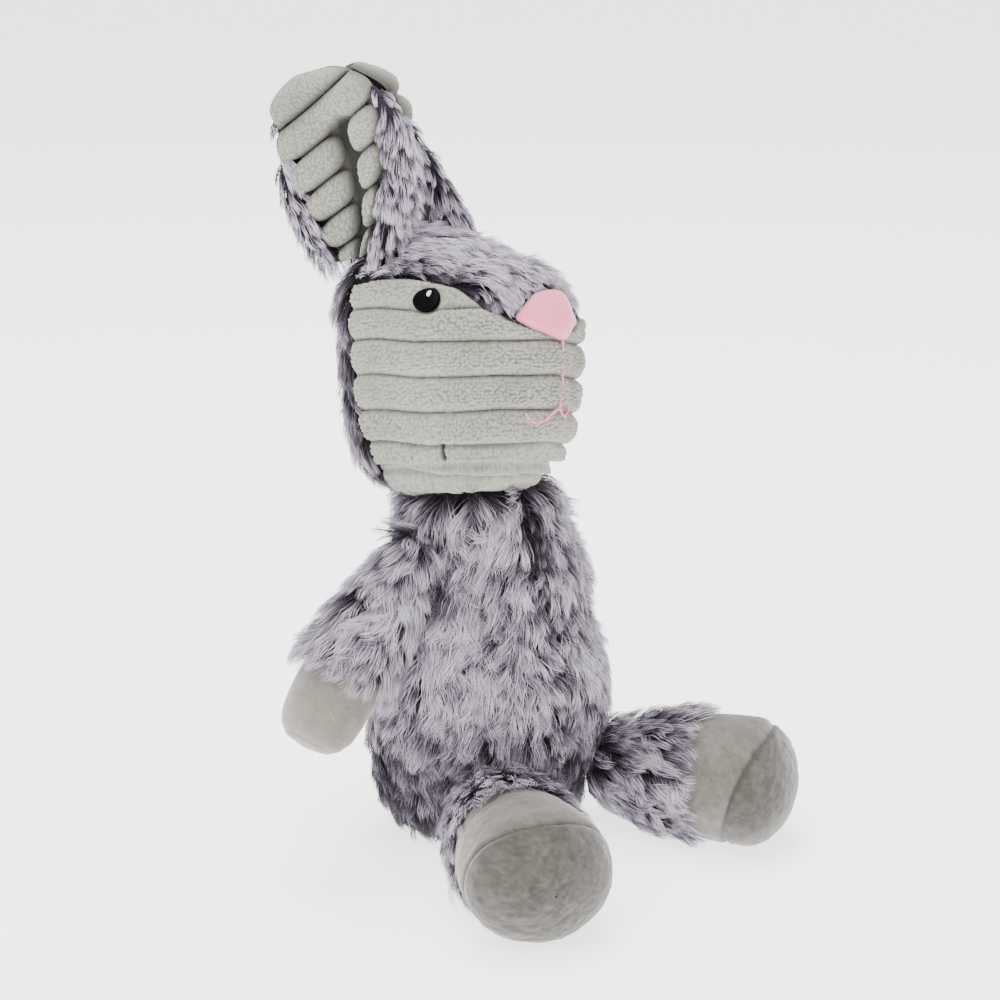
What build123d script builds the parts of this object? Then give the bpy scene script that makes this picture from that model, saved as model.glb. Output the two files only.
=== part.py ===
from build123d import *
from math import cos, radians, sin, sqrt
import os

os.makedirs("parts", exist_ok=True)

# Sitting plush rabbit. Millimetres, +Z up, facing -Y, its own left towards +X.
# Origin: centre of the flat seat under the torso.

# ---------------------------------------------------------------- driving sizes
FUR = 2.5            # furry cloth, backing and the dense foot of its pile
CLOTH = 1.6          # ribbed terry and short velour
GAP = 0.3            # between a cloth cover and the stuffing inside it
JOINT_GAP = 0.6      # between a limb's root and its socket
FAR = 200            # longer than anything a region box has to reach

# torso rings: height, centre y, half width, half depth
TORSO = [
    (0, 0, 22, 20),
    (8, 0, 31, 28),
    (30, -2, 38.5, 35),
    (56, -2, 37.5, 34),
    (84, 0, 29.5, 28),
    (98, 1, 25, 23.5),
    (105, 1, 20, 18.5),
]
TORSO_TOP = 105
SIDE_SEAM_Y = 4      # the side seams run just behind the middle
BASE_SEAM_Z = 5      # the seat gusset's seam

# head: a rounded box, tilted back and towards its left
HEAD_AT = (-5, 3, 155)
HEAD_TILT = (-12, 10)             # nod back, lean to its left, degrees
HEAD_TURN = 6
HEAD_WIDE = 66
HEAD_ROUND = 22
# side outline of the head: y, z, with the forehead sloping down to the nose
HEAD_OUTLINE = [(33.5, -40), (33.5, 40), (-4, 40), (-33.5, 24), (-33.5, -40)]
BACK_SEAM_Y = 19
CROWN_Z = 25
CHIN_Z = -34
BLAZE_TOP = 25                    # half width of the furry blaze at the crown seam
BLAZE_END = (12, 13)              # half width and height of its end behind the nose
NECK_AT = (-3, 0, 106)
NECK_R = 13.5

# arms: shoulder, direction
SHOULDER_R = 8.5
ARMS = {
    "right": ((-27, 3, 97), (-0.629, 0.04, -0.777)),
    "left": ((27, 4, 97), (0.52, 0.38, -0.765)),
}
CUFF = 40                         # where the furry sleeve meets the paw
# sleeve rings: distance from the shoulder, radius
SLEEVE = [(6.2, 5.8), (12, 7.8), (20, 9.5), (30, 10.8), (CUFF, 11.6)]
# paw rings: distance, half width, half depth
PAW = [(CUFF, 11.6, 11.6), (50, 14, 12.5), (60, 13.4, 11.2), (66, 10, 7.5), (68, 6, 4)]

# legs: hips, splay
HIP_R = 14.5
HIP = (24.5, -25, 20.5)
SPLAY = 27
TROUSER = 31                      # where the furry sleeve meets the foot
LEG = [(10.3, 10.2), (14, 14.5), (19, 17), (25, 18), (TROUSER, 18.5)]
SOLE_SEAM = 53
FOOT = [(TROUSER, 18.5, 18.5), (39, 21, 19.8), (47, 22.2, 20.2), (SOLE_SEAM, 22.5, 20.5)]
SOLE = [(SOLE_SEAM, 22.5, 20.5), (59, 20.7, 18.8), (64, 15.5, 14), (67, 8, 7)]

# ears: root and tip from the head's centre, and the way the lining faces
EAR_ROOT_R = 6
EARS = {
    "right": ((-23.1, 21.5, 31.7), (-31, 37, 87), (-0.85, -0.5, 0)),
    "left": ((19.6, 22.8, 35.9), (1, 49, 88), (0.85, -0.5, 0)),
}
EAR_BACK_R = 17
EAR_LINE_R = 14.2
EAR_INNER_R = 10.8
EAR_SPINE = 14                    # how far the cup's centre stands before its root
EAR_LIP = 3.5                     # how far the cup's rims stop short of its centre
LINING_FROM = 7                   # the lining starts above the root
# half outline of the ear: half width, share of its height
EAR_EDGE = [(4, 0.05), (7.5, 0.2), (13.8, 0.44), (17, 0.65), (14.6, 0.84)]

# face trim
TRIM = 0.9
NOSE_TRIM = 1.6
EYE_AT = (-12, 15.6)              # along and up the side of the head
EYE_SIZE = (5.2, 3.8)
SHINE = 1.1
SHINE_TRIM = 0.3
NOSE = [(-14.5, 12.5), (-8, 18.5), (0, 20.5), (8, 18.5), (14.5, 12.5), (3, 4.5), (-3, 4.5)]
NOSE_SOFTEN = 2
MOUTH = [(-11, -16.5), (-8.5, -19.5), (-4, -19.5), (0, -15), (4, -19.5), (8.5, -19.5), (11, -16.5)]
MOUTH_TOP = 4.5
THREAD = 1.3

HEAD_PLACE = Location(HEAD_AT) * Rotation(Y=HEAD_TILT[1]) * Rotation(X=HEAD_TILT[0]) * Rotation(Z=HEAD_TURN)


# ---------------------------------------------------------------- shapes used more than once
def torso_body(inset, mode=Mode.ADD):
    """The torso's pear shape, drawn in by inset all round."""
    squeeze = (TORSO_TOP - 2 * inset) / TORSO_TOP
    rounds = []
    for height, middle, wide, deep in TORSO:
        with BuildSketch(Plane.XY.offset(inset + height * squeeze)) as ring:
            with Locations((0, middle)):
                Ellipse(wide - inset, deep - inset)
        rounds.append(ring.sketch.face())
    loft(rounds, mode=mode)


def ringed(plane, rings, inset, mode=Mode.ADD, capped=False):
    """A soft form through oval rings along a plane's normal; capped, its end is drawn in too."""
    start = rings[0][0]
    squeeze = 1 - inset / (rings[-1][0] - start) if capped else 1
    rounds = []
    for ring in rings:
        with BuildSketch(plane.offset(start + (ring[0] - start) * squeeze)) as oval:
            Ellipse(ring[1] - inset, ring[-1] - inset)
        rounds.append(oval.sketch.face())
    loft(rounds, mode=mode)


def limb(plane, root_r, rings, inset, mode=Mode.ADD):
    """A rounded root and the sleeve that grows out of it."""
    with Locations(plane.origin):
        Sphere(root_r - inset, mode=mode)
    first = (rings[0][0] * 0.5, rings[0][1], rings[0][1])
    ringed(plane, [first] + rings, inset, mode)


def along(root, direction):
    """A plane at a root, its normal down the limb and its x level."""
    way = Vector(*direction).normalized()
    return Plane(origin=root, z_dir=way, x_dir=Vector(-way.Y, way.X, 0))


def head_body(inset, mode=Mode.ADD):
    """The head's rounded block in its own frame."""
    with BuildPart(mode=Mode.PRIVATE) as block:
        with BuildSketch(Plane.YZ) as outline:
            with BuildLine():
                Polyline(*HEAD_OUTLINE, close=True)
            make_face()
            if inset:
                offset(amount=-inset, kind=Kind.INTERSECTION)
        extrude(amount=HEAD_WIDE / 2 - inset, both=True)
        fillet(block.edges(), HEAD_ROUND - inset)
    add(block.part, mode=mode)


def from_head(point):
    """A point of the head's own frame in the rabbit's frame."""
    return (HEAD_PLACE * Location(point)).position


def to_head(point):
    """A point of the rabbit's frame in the head's own frame."""
    return (HEAD_PLACE.inverse() * Location(point)).position


arm_plane = {side: along(root, way) for side, (root, way) in ARMS.items()}
hip_at = {"right": (-HIP[0], HIP[1], HIP[2]), "left": HIP}
hip_sign = {"right": -1, "left": 1}
leg_plane = {}
for side, sign in hip_sign.items():
    leg_plane[side] = along(hip_at[side], (sign * sin(radians(SPLAY)), -cos(radians(SPLAY)), 0))

ear_plane = {}
ear_tall = {}
for side, (root, tip, face) in EARS.items():
    start = from_head(root)
    rise = Vector(*HEAD_AT) + Vector(*tip) - start
    ear_tall[side] = rise.length
    across = Vector(*face).cross(rise)
    ear_plane[side] = Plane(origin=start, z_dir=rise, x_dir=across)


def torso_sockets():
    """Hollows in the torso for the neck, the shoulders and the hips."""
    with Locations(NECK_AT):
        Sphere(NECK_R + JOINT_GAP, mode=Mode.SUBTRACT)
    for side in ("right", "left"):
        limb(arm_plane[side], SHOULDER_R, SLEEVE[:4], -JOINT_GAP, Mode.SUBTRACT)
        with Locations(hip_at[side]):
            Sphere(HIP_R + JOINT_GAP, mode=Mode.SUBTRACT)


def torso_skin():
    """The torso's cloth before it is cut into panels."""
    torso_body(0)
    torso_body(FUR, Mode.SUBTRACT)


def ear_sockets():
    """Hollows in the head for the two ears' roots, in the head's frame."""
    for side in ("right", "left"):
        with Locations(EARS[side][0]):
            Sphere(EAR_ROOT_R + JOINT_GAP, mode=Mode.SUBTRACT)


def head_skin(thick):
    """The head's cloth before it is cut into panels."""
    head_body(0)
    head_body(thick, Mode.SUBTRACT)


def blaze(mode):
    """The furry strip that narrows from the crown down to the nose."""
    with BuildSketch(Plane.XZ) as strip:
        with BuildLine():
            Polyline(
                (-BLAZE_TOP, CROWN_Z),
                (-BLAZE_END[0], BLAZE_END[1]),
                (BLAZE_END[0], BLAZE_END[1]),
                (BLAZE_TOP, CROWN_Z),
                close=True,
            )
        make_face()
    extrude(strip.sketch, amount=FAR, mode=mode)


def front_of(seam_y):
    """Keep what lies before a seam across the head."""
    split(bisect_by=Plane.XZ.offset(-seam_y), keep=Keep.TOP)


# ---------------------------------------------------------------- torso
for side, sign in hip_sign.items():
    with BuildPart() as front_panel:
        torso_skin()
        torso_sockets()
        split(bisect_by=Plane.XZ.offset(-SIDE_SEAM_Y), keep=Keep.TOP)
        split(bisect_by=Plane.XY.offset(BASE_SEAM_Z), keep=Keep.TOP)
        split(bisect_by=Plane.YZ, keep=Keep.TOP if sign > 0 else Keep.BOTTOM)
    front_panel.part.label = "torso_front_" + side
    export_step(front_panel.part, "parts/torso_front_" + side + ".step")

with BuildPart() as torso_back:
    torso_skin()
    torso_sockets()
    split(bisect_by=Plane.XZ.offset(-SIDE_SEAM_Y), keep=Keep.BOTTOM)
    split(bisect_by=Plane.XY.offset(BASE_SEAM_Z), keep=Keep.TOP)
torso_back.part.label = "torso_back"
export_step(torso_back.part, "parts/torso_back.step")

with BuildPart() as torso_seat:
    torso_skin()
    torso_sockets()
    split(bisect_by=Plane.XY.offset(BASE_SEAM_Z), keep=Keep.BOTTOM)
torso_seat.part.label = "torso_seat"
export_step(torso_seat.part, "parts/torso_seat.step")

with BuildPart() as torso_stuffing:
    torso_body(FUR + GAP)
    torso_sockets()
torso_stuffing.part.label = "torso_stuffing"
export_step(torso_stuffing.part, "parts/torso_stuffing.step")

# ---------------------------------------------------------------- head panels
with BuildPart() as face_panel:
    head_skin(CLOTH)
    front_of(BACK_SEAM_Y)
    split(bisect_by=Plane.XY.offset(CROWN_Z), keep=Keep.BOTTOM)
    split(bisect_by=Plane.XY.offset(CHIN_Z), keep=Keep.TOP)
    blaze(Mode.SUBTRACT)
face_part = face_panel.part.moved(HEAD_PLACE)
face_part.label = "face_panel"
export_step(face_part, "parts/face_panel.step")

with BuildPart() as blaze_cut:
    blaze(Mode.ADD)
    with Locations((0, 0, CROWN_Z + FAR / 2)):
        Box(2 * FAR, 2 * FAR, FAR)

with BuildPart() as crown_panel:
    head_skin(FUR)
    front_of(BACK_SEAM_Y)
    add(blaze_cut.part, mode=Mode.INTERSECT)
    ear_sockets()
crown_part = crown_panel.part.moved(HEAD_PLACE)
crown_part.label = "crown_panel"
export_step(crown_part, "parts/crown_panel.step")

with BuildPart() as head_back_panel:
    head_skin(FUR)
    split(bisect_by=Plane.XZ.offset(-BACK_SEAM_Y), keep=Keep.BOTTOM)
    ear_sockets()
back_part = head_back_panel.part.moved(HEAD_PLACE)
back_part.label = "head_back_panel"
export_step(back_part, "parts/head_back_panel.step")

neck = to_head(NECK_AT)
with BuildPart() as chin_panel:
    head_body(0)
    front_of(BACK_SEAM_Y)
    split(bisect_by=Plane.XY.offset(CHIN_Z), keep=Keep.BOTTOM)
    with Locations(neck):
        Sphere(NECK_R)
    head_body(CLOTH, Mode.SUBTRACT)
    with Locations(neck):
        Sphere(NECK_R - CLOTH, mode=Mode.SUBTRACT)
chin_part = chin_panel.part.moved(HEAD_PLACE)
chin_part.label = "chin_panel"
export_step(chin_part, "parts/chin_panel.step")

with BuildPart() as head_stuffing:
    head_body(FUR + GAP)
    with Locations(neck):
        Sphere(NECK_R - CLOTH - GAP)
    ear_sockets()
stuffing_part = head_stuffing.part.moved(HEAD_PLACE)
stuffing_part.label = "head_stuffing"
export_step(stuffing_part, "parts/head_stuffing.step")

# ---------------------------------------------------------------- face trim
def raised(outline, lift, base=0):
    """A thin patch lying on the head's face or side, cut to an outline run through it."""
    with BuildPart() as patch:
        head_body(-base - lift)
        head_body(-base, Mode.SUBTRACT)
        add(outline, mode=Mode.INTERSECT)
    return patch.part.moved(HEAD_PLACE)


with BuildPart() as nose_outline:
    with BuildSketch(Plane.XZ) as nose_shape:
        with BuildLine():
            Polyline(*NOSE, close=True)
        make_face()
        fillet(nose_shape.vertices(), NOSE_SOFTEN)
    extrude(amount=FAR)
nose = raised(nose_outline.part, NOSE_TRIM)
nose.label = "nose"
export_step(nose, "parts/nose.step")

with BuildPart() as mouth_outline:
    with BuildSketch(Plane.XZ) as mouth_shape:
        with BuildLine() as stitches:
            Line((0, MOUTH_TOP), MOUTH[3])
            Spline(*MOUTH[:4])
            Spline(*MOUTH[3:])
        trace(line_width=THREAD)
    extrude(amount=FAR)
with BuildPart() as mouth_cut:
    add(mouth_outline.part)
    add(nose_outline.part, mode=Mode.SUBTRACT)
mouth = raised(mouth_cut.part, TRIM)
mouth.label = "mouth_stitch"
export_step(mouth, "parts/mouth_stitch.step")

for side, sign in hip_sign.items():
    with BuildPart() as eye_outline:
        with BuildSketch(Plane.YZ):
            with Locations(EYE_AT):
                Ellipse(*EYE_SIZE)
        extrude(amount=sign * FAR)
    eye = raised(eye_outline.part, TRIM)
    eye.label = "eye_" + side
    export_step(eye, "parts/eye_" + side + ".step")
    with BuildPart() as shine_outline:
        with BuildSketch(Plane.YZ):
            with Locations((EYE_AT[0], EYE_AT[1] + SHINE)):
                Circle(SHINE)
        extrude(amount=sign * FAR)
    shine = raised(shine_outline.part, SHINE_TRIM, TRIM)
    shine.label = "eye_shine_" + side
    export_step(shine, "parts/eye_shine_" + side + ".step")

# ---------------------------------------------------------------- ears
for side, tall in ear_tall.items():
    with BuildPart() as ear_outline:
        with BuildSketch(Plane.XZ):
            with BuildLine():
                right_edge = [(wide, up * tall) for wide, up in EAR_EDGE]
                left_edge = [(-wide, up * tall) for wide, up in reversed(EAR_EDGE)]
                Spline(*right_edge, (0, tall), *left_edge)
                Line(left_edge[-1], right_edge[0])
            make_face()
        extrude(amount=FAR, both=True)
    layers = {"outer": (EAR_BACK_R, EAR_LINE_R), "lining": (EAR_LINE_R, EAR_INNER_R)}
    for layer, (outer_r, inner_r) in layers.items():
        with BuildPart() as ear:
            with BuildSketch():
                with Locations((0, EAR_SPINE)):
                    Circle(outer_r)
                    Circle(inner_r, mode=Mode.SUBTRACT)
                with Locations((0, EAR_SPINE - EAR_LIP + FAR / 2)):
                    Rectangle(FAR, FAR, mode=Mode.SUBTRACT)
            extrude(amount=tall)
            add(ear_outline.part, mode=Mode.INTERSECT)
            if layer == "outer":
                Sphere(EAR_ROOT_R)
            else:
                split(bisect_by=Plane.XY.offset(LINING_FROM), keep=Keep.TOP)
        placed = ear.part.moved(ear_plane[side].location)
        placed.label = "ear_" + side + "_" + layer
        export_step(placed, "parts/" + placed.label + ".step")

# ---------------------------------------------------------------- arms
for side, plane in arm_plane.items():
    with BuildPart() as arm_sleeve:
        limb(plane, SHOULDER_R, SLEEVE, 0)
        limb(plane, SHOULDER_R, SLEEVE, FUR, Mode.SUBTRACT)
    arm_sleeve.part.label = "arm_" + side + "_sleeve"
    export_step(arm_sleeve.part, "parts/arm_" + side + "_sleeve.step")

    with BuildPart() as paw:
        ringed(plane, PAW, 0)
        ringed(plane, PAW, CLOTH, Mode.SUBTRACT, capped=True)
    paw.part.label = "paw_" + side
    export_step(paw.part, "parts/paw_" + side + ".step")

    with BuildPart() as arm_stuffing:
        limb(plane, SHOULDER_R, SLEEVE, FUR + GAP)
        ringed(plane, PAW, CLOTH + GAP, capped=True)
    arm_stuffing.part.label = "arm_" + side + "_stuffing"
    export_step(arm_stuffing.part, "parts/arm_" + side + "_stuffing.step")

# ---------------------------------------------------------------- legs
for side, plane in leg_plane.items():
    with BuildPart() as leg_sleeve:
        limb(plane, HIP_R, LEG, 0)
        limb(plane, HIP_R, LEG, FUR, Mode.SUBTRACT)
    leg_sleeve.part.label = "leg_" + side + "_sleeve"
    export_step(leg_sleeve.part, "parts/leg_" + side + "_sleeve.step")

    with BuildPart() as foot_upper:
        ringed(plane, FOOT, 0)
        ringed(plane, FOOT, CLOTH, Mode.SUBTRACT)
    foot_upper.part.label = "foot_" + side + "_upper"
    export_step(foot_upper.part, "parts/foot_" + side + "_upper.step")

    with BuildPart() as foot_sole:
        ringed(plane, SOLE, 0)
        ringed(plane, SOLE, CLOTH, Mode.SUBTRACT, capped=True)
    foot_sole.part.label = "foot_" + side + "_sole"
    export_step(foot_sole.part, "parts/foot_" + side + "_sole.step")

    with BuildPart() as leg_stuffing:
        limb(plane, HIP_R, LEG, FUR + GAP)
        ringed(plane, FOOT, CLOTH + GAP)
        ringed(plane, SOLE, CLOTH + GAP, capped=True)
    leg_stuffing.part.label = "leg_" + side + "_stuffing"
    export_step(leg_stuffing.part, "parts/leg_" + side + "_stuffing.step")
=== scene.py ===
import bpy
import numpy as np
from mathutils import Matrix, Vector


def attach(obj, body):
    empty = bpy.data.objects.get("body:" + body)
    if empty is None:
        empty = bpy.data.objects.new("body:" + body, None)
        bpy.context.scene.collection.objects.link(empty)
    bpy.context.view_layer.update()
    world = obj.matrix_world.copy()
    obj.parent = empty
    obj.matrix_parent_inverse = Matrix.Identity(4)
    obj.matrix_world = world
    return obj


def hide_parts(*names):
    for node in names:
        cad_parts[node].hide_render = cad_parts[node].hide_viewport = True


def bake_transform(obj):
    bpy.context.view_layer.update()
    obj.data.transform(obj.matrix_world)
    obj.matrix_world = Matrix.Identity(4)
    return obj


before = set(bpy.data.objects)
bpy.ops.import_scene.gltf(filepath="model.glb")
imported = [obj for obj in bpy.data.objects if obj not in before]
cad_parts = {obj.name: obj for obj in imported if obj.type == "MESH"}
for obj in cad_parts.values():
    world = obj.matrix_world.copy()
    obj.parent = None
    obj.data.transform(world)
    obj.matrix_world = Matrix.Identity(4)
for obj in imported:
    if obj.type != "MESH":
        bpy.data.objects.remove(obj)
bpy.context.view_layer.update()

MM = 0.001
rng = np.random.default_rng(11)


# ---------------------------------------------------------------- numbers and noise
def unit(a):
    return a / np.maximum(np.linalg.norm(a, axis=-1, keepdims=True), 1e-9)


def dot(a, b):
    return (a * b).sum(-1, keepdims=True)


def step(lo, hi, x):
    """0 below lo, 1 above hi, smooth between."""
    t = np.clip((x - lo) / (hi - lo), 0, 1)
    return t * t * (3 - 2 * t)


def smooth_line(x, xs, ys):
    """A smooth curve through (xs, ys), read at x."""
    xs, ys = np.asarray(xs, float), np.asarray(ys, float)
    slope = np.gradient(ys, xs)
    x = np.clip(x, xs[0], xs[-1])
    k = np.clip(np.searchsorted(xs, x, side="right") - 1, 0, len(xs) - 2)
    w = xs[k + 1] - xs[k]
    t = (x - xs[k]) / w
    a = (1 + 2 * t) * (1 - t) ** 2 * ys[k] + t * (1 - t) ** 2 * w * slope[k]
    return a + t * t * (3 - 2 * t) * ys[k + 1] + t * t * (t - 1) * w * slope[k + 1]


def dice(i, j, k, seed):
    """A repeatable number from 0 to 1 for each whole-number place."""
    h = (i * 374761393 + j * 668265263 + k * 1442695041 + seed * 97531357) & 0xFFFFFFFF
    h = ((h ^ (h >> 13)) * 1274126177) & 0xFFFFFFFF
    return ((h ^ (h >> 16)) & 0xFFFF) / 65535.0


def lumps(p, size, seed=0):
    """Smooth noise from -1 to 1 with features of that size, in mm."""
    q = np.asarray(p, float) / size
    base = np.floor(q).astype(np.int64)
    f = q - base
    f = f * f * (3 - 2 * f)
    total = 0
    for dx in (0, 1):
        for dy in (0, 1):
            for dz in (0, 1):
                w = (f[..., 0] if dx else 1 - f[..., 0]) * (f[..., 1] if dy else 1 - f[..., 1])
                w = w * (f[..., 2] if dz else 1 - f[..., 2])
                total = total + w * dice(base[..., 0] + dx, base[..., 1] + dy, base[..., 2] + dz, seed)
    return 2 * total - 1


def nubs(a, b, size, seed=0):
    """Packed round loops over a cloth: 0 between them and 1 on top."""
    qa, qb = a / size, b / size
    ia, ib = np.floor(qa).astype(np.int64), np.floor(qb).astype(np.int64)
    best = np.full(qa.shape, 9.0)
    for da in (-1, 0, 1):
        for db in (-1, 0, 1):
            ca, cb = ia + da, ib + db
            x = ca + 0.5 + 0.8 * (dice(ca, cb, 1, seed) - 0.5)
            y = cb + 0.5 + 0.8 * (dice(ca, cb, 2, seed) - 0.5)
            best = np.minimum(best, (qa - x) ** 2 + (qb - y) ** 2)
    return np.exp(-4.2 * best)


# ---------------------------------------------------------------- meshes
def mesh_of(name, points, faces, body, material, painted_shade_and_nap=None, uv=None):
    """A mesh piece from points in mm and faces of three and four corners, riding on a body."""
    data = bpy.data.meshes.new(name)
    data.vertices.add(len(points))
    data.vertices.foreach_set("co", (np.asarray(points) * MM).astype(np.float32).ravel())
    sizes = np.concatenate([np.full(len(f), f.shape[1]) for f in faces])
    corners = np.concatenate([f.ravel() for f in faces])
    data.loops.add(len(corners))
    data.loops.foreach_set("vertex_index", corners.astype(np.int32))
    data.polygons.add(len(sizes))
    starts = np.concatenate([[0], np.cumsum(sizes)[:-1]])
    data.polygons.foreach_set("loop_start", starts.astype(np.int32))
    data.polygons.foreach_set("loop_total", sizes.astype(np.int32))
    data.polygons.foreach_set("use_smooth", np.full(len(sizes), True))
    # a point attribute carrying painted shade, and on the velours also the nap's mottling
    if painted_shade_and_nap is not None:
        layer = data.attributes.new("painted_shade_and_nap", "FLOAT", "POINT")
        layer.data.foreach_set("value", painted_shade_and_nap.astype(np.float32).ravel())
    if uv is not None:
        layer = data.uv_layers.new(name="OFBake")
        layer.data.foreach_set("uv", uv[corners].astype(np.float32).ravel())
    data.update()
    data.validate()
    data.materials.append(material)
    piece = bpy.data.objects.new(name, data)
    bpy.context.scene.collection.objects.link(piece)
    if body:
        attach(piece, body)
    return piece


def grid_faces(rows, cols, closed):
    index = np.arange(rows * cols).reshape(rows, cols)
    if closed:
        index = np.concatenate([index, index[:, :1]], 1)
    quads = [index[:-1, :-1], index[:-1, 1:], index[1:, 1:], index[1:, :-1]]
    return np.stack(quads, -1).reshape(-1, 4)


def wrap(grid):
    """A closed grid with its first column repeated at its end."""
    return np.concatenate([grid, grid[:, :1]], 1)


def grid_normals(points, middle, closed=False):
    """Normals of a grid of points, away from the middle."""
    if closed:
        across = np.roll(points, -1, 1) - np.roll(points, 1, 1)
    else:
        across = np.gradient(points, axis=1)
    n = unit(np.cross(across, np.gradient(points, axis=0)))
    return n * np.sign(dot(n, points - middle) + 1e-12)


def cloth(name, points, middle, body, material, closed=False, hem=1.5, painted_shade_and_nap=None, outward=None):
    """A panel of cloth from a grid of points, its free edges folded in under it."""
    n = grid_normals(points, middle, closed) if outward is None else outward
    rows = [points[:1] - n[:1] * hem, points, points[-1:] - n[-1:] * hem]
    points = np.concatenate(rows, 0)
    if painted_shade_and_nap is not None:
        painted_shade_and_nap = np.concatenate([painted_shade_and_nap[:1], painted_shade_and_nap, painted_shade_and_nap[-1:]], 0)
    if not closed:
        n = np.concatenate([n[:1], n, n[-1:]], 0)
        cols = [points[:, :1] - n[:, :1] * hem, points, points[:, -1:] - n[:, -1:] * hem]
        points = np.concatenate(cols, 1)
        if painted_shade_and_nap is not None:
            painted_shade_and_nap = np.concatenate([painted_shade_and_nap[:, :1], painted_shade_and_nap, painted_shade_and_nap[:, -1:]], 1)
    faces = grid_faces(points.shape[0], points.shape[1], closed)
    flat = points.reshape(-1, 3)
    centre = flat[faces].mean(1)
    facing = np.cross(flat[faces[:, 1]] - flat[faces[:, 0]], flat[faces[:, 2]] - flat[faces[:, 0]])
    back = middle if np.ndim(middle) == 1 else np.asarray(middle).reshape(-1, 3).mean(0)
    if (dot(facing, centre - back)).sum() < 0:
        faces = faces[:, ::-1]
    return mesh_of(name, flat, [faces], body, material, painted_shade_and_nap)


# ---------------------------------------------------------------- materials
def srgb(r, g, b):
    c = np.array([r, g, b]) / 255
    lin = np.where(c <= 0.04045, c / 12.92, ((c + 0.055) / 1.055) ** 2.4)
    return (float(lin[0]), float(lin[1]), float(lin[2]), 1.0)


def base_material(name, rough, sheen, tint=(1, 1, 1, 1)):
    material = bpy.data.materials.new(name)
    material.use_nodes = True
    nodes, links = material.node_tree.nodes, material.node_tree.links
    shader = nodes["Principled BSDF"]
    shader.inputs["Roughness"].default_value = rough
    shader.inputs["Specular IOR Level"].default_value = 0.2
    shader.inputs["Sheen Weight"].default_value = sheen
    shader.inputs["Sheen Roughness"].default_value = 0.5
    shader.inputs["Sheen Tint"].default_value = tint
    return material, nodes, links, shader


def ramp_of(nodes, stops):
    ramp = nodes.new("ShaderNodeValToRGB")
    while len(ramp.color_ramp.elements) < len(stops):
        ramp.color_ramp.elements.new(0.5)
    for element, (place, colour) in zip(ramp.color_ramp.elements, stops):
        element.position = place
        element.color = colour
    return ramp


def noise_of(nodes, links, coords, scale, detail=3.0, rough=0.6):
    noise = nodes.new("ShaderNodeTexNoise")
    noise.inputs["Scale"].default_value = scale
    noise.inputs["Detail"].default_value = detail
    noise.inputs["Roughness"].default_value = rough
    links.new(coords.outputs["Object"], noise.inputs["Vector"])
    return noise


def cloth_material(name, dark, light, patch, grain, bump, depth, rough=0.95, sheen=0.3, painted_shade_and_nap_colour=None):
    """Cloth with broad patches and a fine grain, darker where its shade attribute is 1: painted shade in
    grooves, creases and folds, and on the velours also the nap's own darker mottling.
    """
    material, nodes, links, shader = base_material(name, rough, sheen)
    coords = nodes.new("ShaderNodeTexCoord")
    broad = noise_of(nodes, links, coords, patch)
    fine = noise_of(nodes, links, coords, grain, 2.0)
    both = nodes.new("ShaderNodeMath")
    both.operation = "ADD"
    links.new(broad.outputs["Fac"], both.inputs[0])
    links.new(fine.outputs["Fac"], both.inputs[1])
    half = nodes.new("ShaderNodeMath")
    half.operation = "MULTIPLY"
    half.inputs[1].default_value = 0.5
    links.new(both.outputs[0], half.inputs[0])
    ramp = ramp_of(nodes, [(0.35, dark), (0.65, light)])
    links.new(half.outputs[0], ramp.inputs["Fac"])
    colour = ramp.outputs["Color"]
    # painted shade: mixes in the dark colour where the attribute is high, in grooves, creases and folds; on
    # the velours it also makes the nap's mottling
    if painted_shade_and_nap_colour is not None:
        painted_shade_and_nap = nodes.new("ShaderNodeAttribute")
        painted_shade_and_nap.attribute_name = "painted_shade_and_nap"
        mix = nodes.new("ShaderNodeMix")
        mix.data_type = "RGBA"
        links.new(painted_shade_and_nap.outputs["Fac"], mix.inputs[0])
        links.new(colour, mix.inputs[6])
        mix.inputs[7].default_value = painted_shade_and_nap_colour
        colour = mix.outputs[2]
    links.new(colour, shader.inputs["Base Color"])
    height = nodes.new("ShaderNodeBump")
    height.inputs["Strength"].default_value = bump
    height.inputs["Distance"].default_value = depth
    links.new(fine.outputs["Fac"], height.inputs["Height"])
    links.new(height.outputs["Normal"], shader.inputs["Normal"])
    return material


def fur_material(name, stops, shift=0.9):
    """Pile whose colour runs from root to tip (v) and from lock to lock (u)."""
    material, nodes, links, shader = base_material(name, 0.75, 0.25, srgb(235, 228, 240))
    place = nodes.new("ShaderNodeUVMap")
    place.uv_map = "OFBake"
    split = nodes.new("ShaderNodeSeparateXYZ")
    links.new(place.outputs["UV"], split.inputs[0])
    moved = nodes.new("ShaderNodeMath")
    moved.operation = "MULTIPLY_ADD"
    moved.inputs[1].default_value = shift
    moved.inputs[2].default_value = -shift / 2
    links.new(split.outputs["X"], moved.inputs[0])
    both = nodes.new("ShaderNodeMath")
    both.operation = "ADD"
    links.new(moved.outputs[0], both.inputs[0])
    links.new(split.outputs["Y"], both.inputs[1])
    ramp = ramp_of(nodes, stops)
    links.new(both.outputs[0], ramp.inputs["Fac"])
    links.new(ramp.outputs["Color"], shader.inputs["Base Color"])
    return material


FROSTED = fur_material("frosted_pile", [
    (0.0, srgb(34, 29, 37)),
    (0.30, srgb(62, 55, 66)),
    (0.58, srgb(142, 133, 147)),
    (0.85, srgb(214, 206, 219)),
])
BACKING = cloth_material("pile_backing", srgb(24, 21, 27), srgb(46, 41, 50), 60, 900, 0.6, 0.0008, sheen=0.1)
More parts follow.
